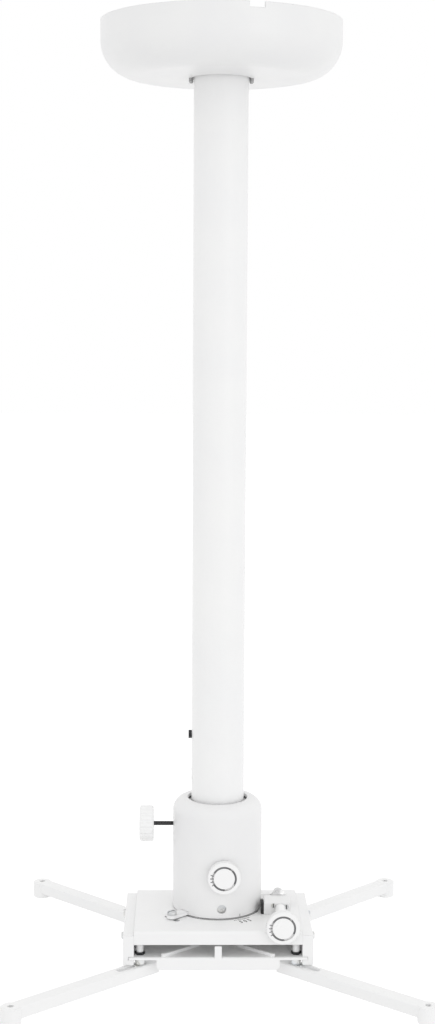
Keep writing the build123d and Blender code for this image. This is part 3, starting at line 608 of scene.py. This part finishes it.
# cover screws of the worm block, with upright slots
coverScrew = {"radius": 2.2 * mm, "height": 1.4 * mm, "slot": 0.85 * mm, "depth": 0.9 * mm}
low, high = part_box("block_screws")
coverPlaces = [(low.x + coverScrew["radius"], low.y + coverScrew["height"], high.z - coverScrew["radius"]),
               (high.x - coverScrew["radius"], low.y + coverScrew["height"], low.z + coverScrew["radius"])]
source = screwSource("coverScrewSource", [(0, -0.0005), (coverScrew["radius"], -0.0005), (coverScrew["radius"],
        coverScrew["height"] * 0.55),
                                          (coverScrew["radius"] * 0.86, coverScrew["height"] * 0.9),
                                          (coverScrew["radius"] * 0.6, coverScrew["height"]), (0,
                                          coverScrew["height"])])
coverHeads = grow("block_screws.heads", slottedHead, coverPlaces, {"Head": source, "SlotLength": coverScrew["slot"],
        "SlotWidth": 5 * mm, "SlotDepth": coverScrew["depth"],
                  "Top": coverScrew["height"], "Turn": frontTurn}, "plate", zincPlate, "zinc_steel")
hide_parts("block_screws")
bpy.data.objects.remove(source)
# black bars set inside the cover screw slots: painted shade of the slots
grow("block_screws.slots", arcTicks, [(x, y - 0.7 * mm, z) for x, y, z in coverPlaces], {"Reach": 0.0, "Count": 1,
        "Start": radians(90), "Longer": 1.0, "Width": coverScrew["slot"],
     "Length": 3.8 * mm, "Rise": 0.3 * mm, "Turn": frontTurn}, "plate", blackOxideAndShade, "dark_steel")

# rail screws with crossed slots
railScrew = {"radius": 3.5 * mm, "height": 2.2 * mm, "slotLength": 3.8 * mm, "slotWidth": 0.85 * mm,
        "depth": 1.3 * mm}
low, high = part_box("rail_screws")
panProfile = [(0, -0.001), (railScrew["radius"], -0.001), (railScrew["radius"], railScrew["height"] * 0.45),
        (railScrew["radius"] * 0.93, railScrew["height"] * 0.75),
              (railScrew["radius"] * 0.72, railScrew["height"] * 0.95), (railScrew["radius"] * 0.4,
              railScrew["height"]), (0, railScrew["height"])]
source = screwSource("railScrewSource", panProfile)
for side in (-1, 1):
    face = (low.x + railScrew["height"]) if side < 0 else (high.x - railScrew["height"])
    spots = [(face, y, (low.z + high.z) / 2) for y in (low.y + railScrew["radius"], high.y - railScrew["radius"])]
    label = "rail_screws.left" if side < 0 else "rail_screws.right"
    grow(label, slottedHead, spots, {"Head": source, "SlotLength": railScrew["slotLength"],
            "SlotWidth": railScrew["slotWidth"], "SlotDepth": railScrew["depth"],
                           "Top": railScrew["height"], "Cross": 1.0, "Turn": (0.0, side * radians(90), 0.0)}, "plate",
                           zincPlate, "zinc_steel")
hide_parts("rail_screws")
bpy.data.objects.remove(source)

# lock screw of the yaw scale, with a broad slot
low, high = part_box("yaw_lock_screw")
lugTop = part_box("lock_lug")[1].z
lockScrew = {"radius": 4.6 * mm, "height": high.z - lugTop, "shank": 2.5 * mm, "slot": 1.2 * mm, "depth": 1.5 * mm}
lockPlace = ((low.x + high.x) / 2, (low.y + high.y) / 2, lugTop)
source = screwSource("lockScrewSource", [(0, low.z - lugTop), (lockScrew["shank"], low.z - lugTop),
        (lockScrew["shank"], 0.0), (lockScrew["radius"], 0.0),
                                         (lockScrew["radius"], lockScrew["height"] * 0.6), (lockScrew["radius"] * 0.9,
                                         lockScrew["height"] * 0.88),
                                         (lockScrew["radius"] * 0.7, lockScrew["height"]), (0, lockScrew["height"])])
lockHead = grow("yaw_lock_screw.slotted", slottedHead, [lockPlace], {"Head": source, "SlotLength": 12 * mm,
        "SlotWidth": lockScrew["slot"], "SlotDepth": lockScrew["depth"],
                "Top": lockScrew["height"], "Turn": (0.0, 0.0, radians(35))}, "head", zincPlate, "zinc_steel")
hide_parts("yaw_lock_screw")
bpy.data.objects.remove(source)

# arm bolts, their crossed heads looking down
low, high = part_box("arm_bolts")
armBolt = {"head": 4.4 * mm, "headHeight": 3.0 * mm, "shank": 2.5 * mm, "length": high.z - low.z,
        "slotLength": 4.6 * mm, "slotWidth": 1.0 * mm, "depth": 1.6 * mm}
boltPlaces = [(x, y, low.z) for x in (low.x + armBolt["head"],
        high.x - armBolt["head"]) for y in (low.y + armBolt["head"], high.y - armBolt["head"])]
source = screwSource("armBoltSource", [(0, -armBolt["length"]), (armBolt["shank"], -armBolt["length"]),
        (armBolt["shank"], -armBolt["headHeight"]), (armBolt["head"], -armBolt["headHeight"]),
                                       (armBolt["head"], -armBolt["headHeight"] * 0.4), (armBolt["head"] * 0.9,
                                       -armBolt["headHeight"] * 0.12), (armBolt["head"] * 0.7, 0), (0, 0)])
armHeads = grow("arm_bolts.crossed", slottedHead, boltPlaces, {"Head": source, "SlotLength": armBolt["slotLength"],
        "SlotWidth": armBolt["slotWidth"], "SlotDepth": armBolt["depth"],
                "Top": 0.0, "Cross": 1.0, "Turn": (radians(180), 0.0, 0.0)}, "slide", zincPlate, "zinc_steel")
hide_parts("arm_bolts")
bpy.data.objects.remove(source)

# yaw scale printed on the head plate, its index on the housing, and a painted shade line round the housing's foot
scaleMarks = {"reach": 46.6 * mm, "first": -70.5, "step": 1.0, "count": 21, "every": 5, "length": 1.6 * mm,
        "width": 0.34 * mm, "rise": 0.06 * mm,
              "digitReach": 52.6 * mm, "digitSize": 8.4 * mm, "digitWidth": 0.62, "digitBold": 0.2 * mm,
              "digits": ("5", "0", "5"),
              "lineReach": 43.1 * mm, "lineWidth": 0.9 * mm, "lineStep": 2.0, "lineFirst": -152.0, "lineCount": 64,
              "indexHeight": 2.6 * mm, "indexWidth": 0.5 * mm}
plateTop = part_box("head_plate")[1].z
grow("yaw_scale.ticks", arcTicks, [(0.0, 0.0, plateTop)], {"Reach": scaleMarks["reach"], "Count": scaleMarks["count"],
        "Start": radians(scaleMarks["first"]),
     "Step": radians(scaleMarks["step"]), "Every": scaleMarks["every"], "Width": scaleMarks["width"],
     "Length": scaleMarks["length"], "Rise": scaleMarks["rise"]},
     "plate", scaleInkAndShade, "dark_steel")
# dark line round the housing's foot: painted shade of the gap between housing and head plate
grow("yaw_scale.line", arcTicks, [(0.0, 0.0, plateTop)], {"Reach": scaleMarks["lineReach"],
        "Count": scaleMarks["lineCount"], "Start": radians(scaleMarks["lineFirst"]),
     "Step": radians(scaleMarks["lineStep"]), "Longer": 1.0,
     "Width": scaleMarks["lineReach"] * radians(scaleMarks["lineStep"]) * 1.05, "Length": scaleMarks["lineWidth"],
     "Rise": scaleMarks["rise"]}, "plate", scaleInkAndShade, "dark_steel")
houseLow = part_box("housing")[0]
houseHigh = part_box("housing")[1]
zeroAngle = radians(scaleMarks["first"] + scaleMarks["step"] * (scaleMarks["count"] - 1) / 2)
houseReach = (houseHigh.x - houseLow.x) / 2
grow("yaw_scale.index", arcTicks, [(0.0, 0.0, houseLow.z + scaleMarks["indexHeight"] / 2 + 0.4 * mm)],
        {"Reach": houseReach, "Count": 1, "Start": zeroAngle, "Longer": 1.0,
     "Width": scaleMarks["indexWidth"], "Length": scaleMarks["rise"] * 2, "Rise": scaleMarks["indexHeight"]}, "head",
     dialInkAndShade, "dark_steel")
digitShape = bmesh.new()
for k, digit in enumerate(scaleMarks["digits"]):
    letter = bpy.data.curves.new("digit", "FONT")
    letter.body = digit
    letter.size = scaleMarks["digitSize"]
    letter.align_x = "CENTER"
    letter.align_y = "CENTER"
    letter.extrude = scaleMarks["rise"] / 2
    letter.offset = scaleMarks["digitBold"]
    holder = bpy.data.objects.new("digit", letter)
    scene.collection.objects.link(holder)
    bpy.context.view_layer.update()
    depsgraph = bpy.context.evaluated_depsgraph_get()
    mesh = bpy.data.meshes.new_from_object(holder.evaluated_get(depsgraph), depsgraph=depsgraph)
    a = radians(scaleMarks["first"] + scaleMarks["step"] * scaleMarks["every"] * (k + 1))
    mesh.transform(Matrix.Translation((scaleMarks["digitReach"] * cos(a), scaleMarks["digitReach"] * sin(a),
            plateTop)) @ Matrix.Rotation(a + pi / 2, 4, "Z") @ Matrix.Diagonal((scaleMarks["digitWidth"], 1.0, 1.0,
            1.0)))
    digitShape.from_mesh(mesh)
    bpy.data.objects.remove(holder)
digitMesh = bpy.data.meshes.new("yaw_scale.digits")
digitShape.to_mesh(digitMesh)
digitShape.free()
addPiece("yaw_scale.digits", digitMesh, "plate", scaleInkAndShade)

# rubber wiper beside the worm block, clear of the housing; its black is painted shade of the gap between housing and
# block
wiper = {"thick": 2.8 * mm, "long": 9.0 * mm, "drop": 0.6 * mm}
blockLow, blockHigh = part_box("worm_block")
wiperShape = bmesh.new()
bmesh.ops.create_cube(wiperShape, size=1.0)
bmesh.ops.scale(wiperShape, vec=(wiper["thick"], wiper["long"], blockHigh.z - wiper["drop"] - plateTop),
        verts=wiperShape.verts)
bmesh.ops.translate(wiperShape, vec=(blockLow.x - wiper["thick"] / 2, blockLow.y + wiper["long"] / 2 + 0.4 * mm,
        (blockHigh.z - wiper["drop"] + plateTop) / 2), verts=wiperShape.verts)
bmesh.ops.bevel(wiperShape, geom=wiperShape.edges[:], offset=0.5 * mm, segments=2, profile=0.5, affect="EDGES")
wiperMesh = bpy.data.meshes.new("worm_block.wiper")
wiperShape.to_mesh(wiperMesh)
wiperShape.free()
addPiece("worm_block.wiper", wiperMesh, "plate", gapShadeRubber)

# white plug in the cable port of the tube
port = {"radius": 5.3 * mm, "inner": 22.75 * mm, "outer": 24.2 * mm, "azimuth": 188.0, "aboveHousing": 23.0 * mm}
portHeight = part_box("housing")[1].z + port["aboveHousing"]
plugMesh = turnedMesh("outer_tube.plug", [(0, port["inner"]), (port["radius"], port["inner"]), (port["radius"],
        port["outer"] - 0.3 * mm), (port["radius"] - 0.3 * mm, port["outer"]), (0, port["outer"])])
plugMesh.transform(Matrix.Translation((0, 0, portHeight)) @ Matrix.Rotation(radians(port["azimuth"]), 4,
        "Z") @ Matrix.Rotation(radians(90), 4, "Y"))
addPiece("outer_tube.plug", plugMesh, "ceiling_column", mouldedWhite)

# screws that hold the canopy grip, hanging in its two notches; their dark steel is also painted shade of the gaps
# beside the tube
gripScrew = {"radius": 2.0 * mm, "up": 3.0 * mm, "down": 4.6 * mm, "reach": 27.6 * mm}
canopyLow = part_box("canopy")[0].z
gripMesh = turnedMesh("gripScrewMesh", [(0, canopyLow - gripScrew["down"]), (gripScrew["radius"] * 0.6,
        canopyLow - gripScrew["down"]), (gripScrew["radius"], canopyLow - gripScrew["down"] * 0.7),
                                        (gripScrew["radius"], canopyLow + gripScrew["up"]), (0,
                                        canopyLow + gripScrew["up"])], steps=24)
gripPair = bmesh.new()
for side in (-1, 1):
    half = gripMesh.copy()
    half.transform(Matrix.Translation((side * gripScrew["reach"], 0, 0)))
    gripPair.from_mesh(half)
gripPairMesh = bpy.data.meshes.new("canopy_grip.screws")
gripPair.to_mesh(gripPairMesh)
gripPair.free()
addPiece("canopy_grip.screws", gripPairMesh, "canopy_body", gapShadeSteel)

# weld between the ceiling plate and the tube collar
seam = {"reach": 30.2 * mm, "count": 84, "bead": 2.1 * mm}
grow("tube_collar.weld", weldBead, [(0.0, 0.0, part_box("ceiling_plate")[0].z - 0.9 * mm)], {"Reach": seam["reach"],
        "Count": seam["count"],
     "Bead": seam["bead"]}, "ceiling_column", powderWhite, "white_powder")
print("grown pieces done")

# camera at the photograph's place
lens = {"place": (-0.0305, -1.5691, -0.2632), "pitch": -6.71, "yaw": -1.06, "roll": 0.3, "focalPixels": 1683.0,
        "rows": 1024.0}
cameraData = bpy.data.cameras.new("studioCamera")
cameraData.sensor_fit = "VERTICAL"
cameraData.sensor_height = 36.0
cameraData.lens = lens["focalPixels"] / lens["rows"] * 36.0
cameraData.clip_end = 50.0
camera = bpy.data.objects.new("studioCamera", cameraData)
turn = Matrix.Rotation(radians(lens["yaw"]), 4, "Z") @ Matrix.Rotation(radians(90 + lens["pitch"]), 4,
        "X") @ Matrix.Rotation(radians(lens["roll"]), 4, "Z")
camera.matrix_world = Matrix.Translation(lens["place"]) @ turn
scene.collection.objects.link(camera)
scene.camera = camera

# floor, surround and one soft lamp from the front right
studio = {"floorHeight": -1.25, "floorSize": 30.0, "surround": 1.0, "lampPower": 6.0, "lampPlace": (1.7, -2.4, -0.2),
        "lampSize": 1.6}
floorMesh = bpy.data.meshes.new("studioFloor")
half = studio["floorSize"] / 2
floorMesh.from_pydata([(-half, -half, studio["floorHeight"]), (half, -half, studio["floorHeight"]), (half, half,
        studio["floorHeight"]), (-half, half, studio["floorHeight"])], [], [(0, 1, 2, 3)])
floor = bpy.data.objects.new("studioFloor", floorMesh)
scene.collection.objects.link(floor)
paper = bpy.data.materials.new("studioPaper")
paper.use_nodes = True
tree = paper.node_tree
tree.nodes.remove(tree.nodes["Principled BSDF"])
sheet = addNode(tree, "ShaderNodeBsdfDiffuse", Color=(0.86, 0.86, 0.86, 1.0))
glow = addNode(tree, "ShaderNodeEmission")
path = tree.nodes.new("ShaderNodeLightPath")
seen = addNode(tree, "ShaderNodeMath", operation="MAXIMUM")
bright = addNode(tree, "ShaderNodeMath", operation="MULTIPLY")
bright.inputs[1].default_value = 0.32
both = tree.nodes.new("ShaderNodeAddShader")
wire(tree, path.outputs["Is Camera Ray"], seen.inputs[0])
wire(tree, path.outputs["Is Glossy Ray"], seen.inputs[1])
wire(tree, seen.outputs["Value"], bright.inputs[0])
wire(tree, bright.outputs["Value"], glow.inputs["Strength"])
wire(tree, sheet.outputs["BSDF"], both.inputs[0])
wire(tree, glow.outputs["Emission"], both.inputs[1])
wire(tree, both.outputs["Shader"], tree.nodes["Material Output"].inputs["Surface"])
floorMesh.materials.append(paper)

world = bpy.data.worlds.new("studioSurround")
world.use_nodes = True
scene.world = world
tree = world.node_tree
back = tree.nodes["Background"]
back.inputs["Color"].default_value = (1.0, 1.0, 1.0, 1.0)
path = tree.nodes.new("ShaderNodeLightPath")
mirror = addNode(tree, "ShaderNodeMath", operation="MAXIMUM")
seen = addNode(tree, "ShaderNodeMath", operation="MAXIMUM")
level = addNode(tree, "ShaderNodeMapRange", To_Min=studio["surround"], To_Max=1.0)
wire(tree, path.outputs["Is Camera Ray"], seen.inputs[0])
wire(tree, path.outputs["Is Glossy Ray"], mirror.inputs[0])
wire(tree, path.outputs["Is Transmission Ray"], mirror.inputs[1])
wire(tree, mirror.outputs["Value"], seen.inputs[1])
wire(tree, seen.outputs["Value"], level.inputs["Value"])
wire(tree, level.outputs["Result"], back.inputs["Strength"])

lampData = bpy.data.lights.new("softLamp", "AREA")
lampData.energy = studio["lampPower"]
lampData.size = studio["lampSize"]
lamp = bpy.data.objects.new("softLamp", lampData)
aim = Vector((0.0, 0.0, -0.5)) - Vector(studio["lampPlace"])
lamp.matrix_world = Matrix.Translation(studio["lampPlace"]) @ aim.to_track_quat("-Z", "Y").to_matrix().to_4x4()
scene.collection.objects.link(lamp)
scene.view_settings.view_transform = "Standard"
print("studio set")
